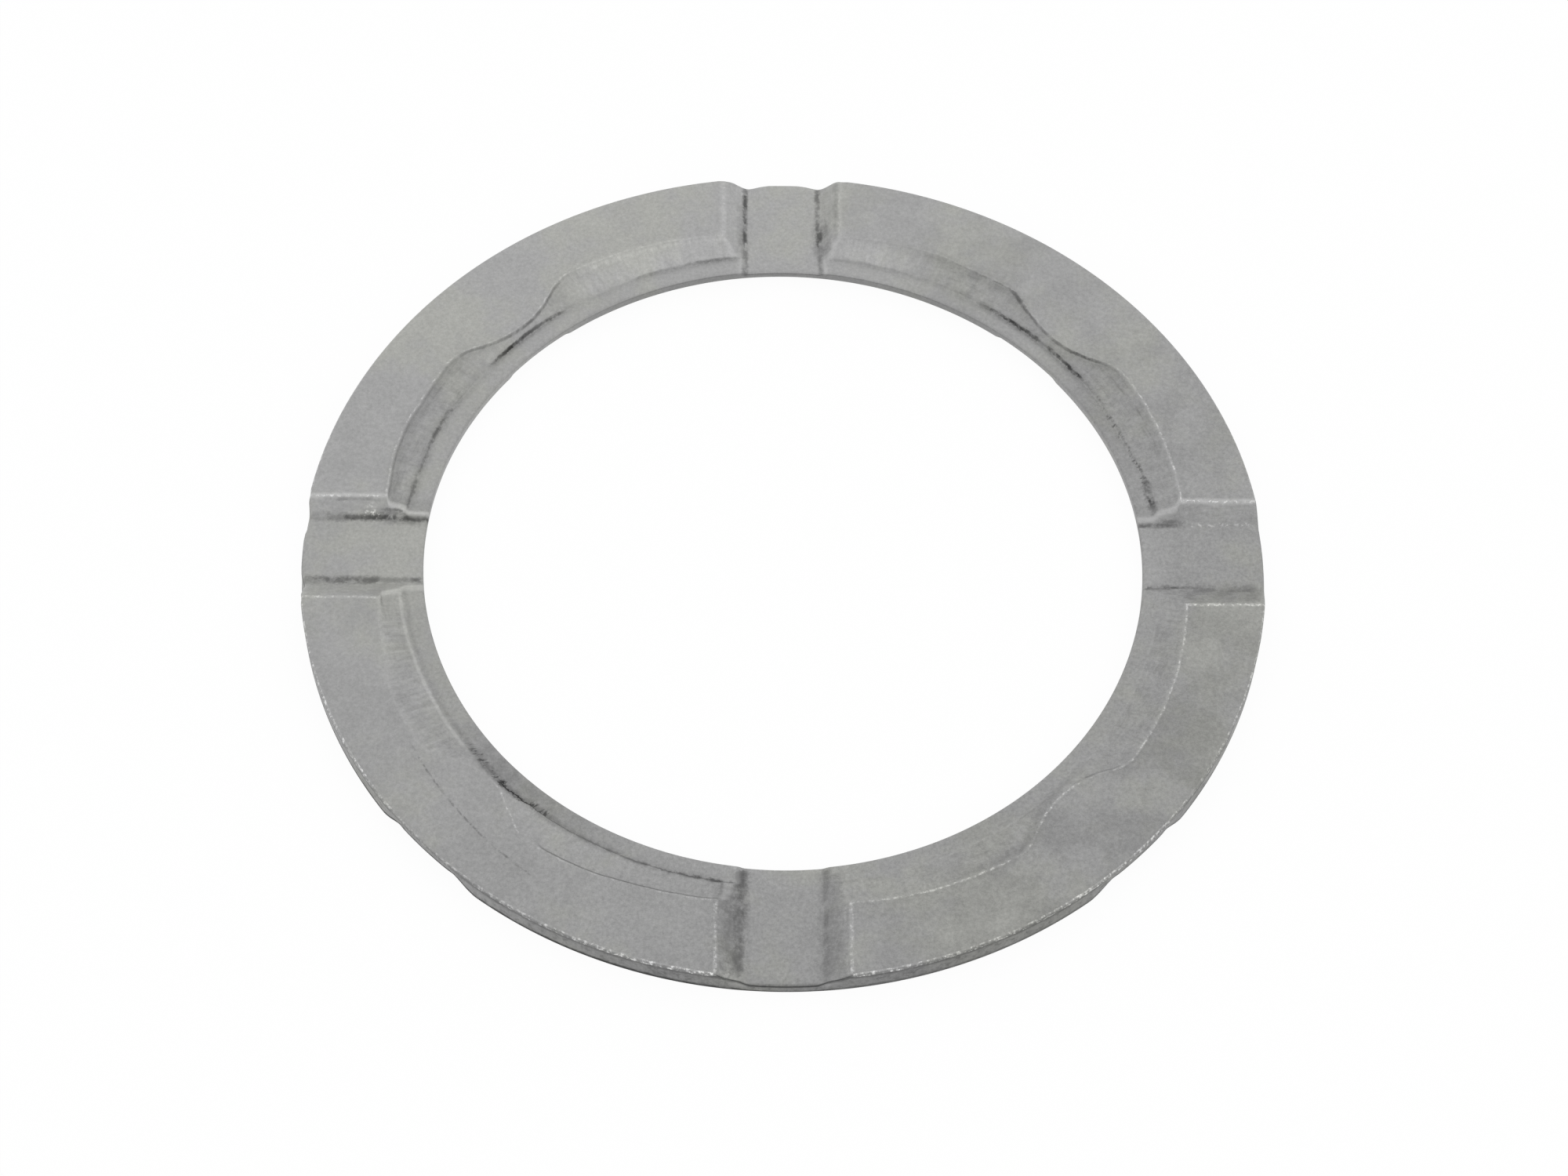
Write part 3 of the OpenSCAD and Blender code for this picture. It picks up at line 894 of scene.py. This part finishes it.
def makeRing(material):
    tree = ringTree()
    holder = bpy.data.objects.new("ringMaker", bpy.data.meshes.new("ringMaker"))
    bpy.context.scene.collection.objects.link(holder)
    maker = holder.modifiers.new("grooved ring", "NODES")
    maker.node_group = tree
    for item in tree.interface.items_tree:
        if item.in_out == "INPUT":
            maker[item.identifier] = material if item.name == "material" else ringSizes[item.name]
    bpy.context.view_layer.update()
    evaluated = holder.evaluated_get(bpy.context.evaluated_depsgraph_get())
    mesh = bpy.data.meshes.new_from_object(evaluated, preserve_all_data_layers=True,
                                           depsgraph=bpy.context.evaluated_depsgraph_get())
    holder.modifiers.remove(maker)
    bpy.data.objects.remove(holder)
    mesh.name = "thrustRing"
    piece = bpy.data.objects.new("thrustRing", mesh)
    bpy.context.scene.collection.objects.link(piece)
    print("ring:", len(mesh.vertices), "points,", len(mesh.polygons), "faces")
    return piece


ring = makeRing(steelMaterial())
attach(ring, "root")
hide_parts("thrust_ring")


# Floor and sky

stageLook = {
    "floorSize": 3.0,
    "floorGrey": 0.97,
    "floorDrop": 0.00002,  # metres, so that it doesn't touch the pads
    "whiteShare": 0.95,
    "skyBack": 1.06,
    "skyTop": 0.9,
    "skyFront": 0.96,
    "backSpan": (0.1, 0.7),  # sines between which the sky turns to its level at the back
    "frontSpan": (0.1, 0.5),
}


def makeFloor():
    half = stageLook["floorSize"] / 2
    mesh = bpy.data.meshes.new("floor")
    mesh.from_pydata([(-half, -half, 0), (half, -half, 0), (half, half, 0), (-half, half, 0)],
                     [], [(0, 1, 2, 3)])
    floor = bpy.data.objects.new("floor", mesh)
    floor.location.z = -stageLook["floorDrop"]
    bpy.context.scene.collection.objects.link(floor)
    material = bpy.data.materials.new("paleFloor")
    material.use_nodes = True
    material.node_tree.nodes.clear()
    g = Graph(material.node_tree)
    grey = stageLook["floorGrey"]
    matt = g.add("ShaderNodeBsdfDiffuse", None, {"Color": (grey, grey, grey, 1)})
    white = g.add("ShaderNodeEmission", None, {"Color": (1, 1, 1, 1), "Strength": 1.0})
    ray = g.add("ShaderNodeLightPath")
    seen = (ray.part("Is Camera Ray") + ray.part("Is Glossy Ray")
            + ray.part("Is Transmission Ray")).maths("MINIMUM", 1)
    both = g.add("ShaderNodeMixShader", None,
                 {0: seen * stageLook["whiteShare"], 1: matt, 2: white})
    g.add("ShaderNodeOutputMaterial", None, {"Surface": both})
    mesh.materials.append(material)


def makeSky():
    world = bpy.data.worlds.new("softStudio")
    bpy.context.scene.world = world
    world.use_nodes = True
    world.node_tree.nodes.clear()
    g = Graph(world.node_tree)
    way = g.add("ShaderNodeSeparateXYZ", None, {0: g.add("ShaderNodeTexCoord").part("Generated")})
    above = stageLook["skyTop"]
    toBack = g.ease(way.part("Y"), *stageLook["backSpan"])
    toFront = g.ease(0 - way.part("Y"), *stageLook["frontSpan"])
    level = (above + (stageLook["skyBack"] - above) * toBack
             + (stageLook["skyFront"] - above) * toFront)
    sky = g.add("ShaderNodeBackground", None, {"Color": (1, 1, 1, 1), "Strength": level})
    g.add("ShaderNodeOutputWorld", None, {"Surface": sky})


makeFloor()
makeSky()


# The camera stands where the photograph's did

view = {
    "pictureWidth": 2000,  # pixels
    "focal": 4613.4,  # the same pixels
    "sensor": 36,  # millimetres
    "distance": 0.453155,  # metres
    "elevation": 56.404,  # degrees
    "azimuth": -1.204,
    "roll": 1.425,
    "right": 0.000185,  # metres that it stands off the line to the origin
    "up": -0.002945,
    "clip": (0.01, 20),
}


def makeCamera():
    azimuth = math.radians(view["azimuth"])
    elevation = math.radians(view["elevation"])
    roll = math.radians(view["roll"])
    back = Vector((math.sin(azimuth) * math.cos(elevation), -math.cos(azimuth) * math.cos(elevation),
                   math.sin(elevation)))
    right = Vector((math.cos(azimuth), math.sin(azimuth), 0))
    up = back.cross(right)
    data = bpy.data.cameras.new("camera")
    camera = bpy.data.objects.new("camera", data)
    data.sensor_width = view["sensor"]
    data.lens = view["focal"] / view["pictureWidth"] * view["sensor"]
    data.clip_start, data.clip_end = view["clip"]
    place = back * view["distance"] + right * view["right"] + up * view["up"]
    turnedRight = right * math.cos(roll) + up * math.sin(roll)
    turnedUp = up * math.cos(roll) - right * math.sin(roll)
    camera.matrix_world = Matrix.Translation(place) @ Matrix(
        (turnedRight, turnedUp, back)).transposed().to_4x4()
    bpy.context.scene.collection.objects.link(camera)
    bpy.context.scene.camera = camera


makeCamera()
bpy.context.scene.view_settings.view_transform = "Standard"
print("stage ready")
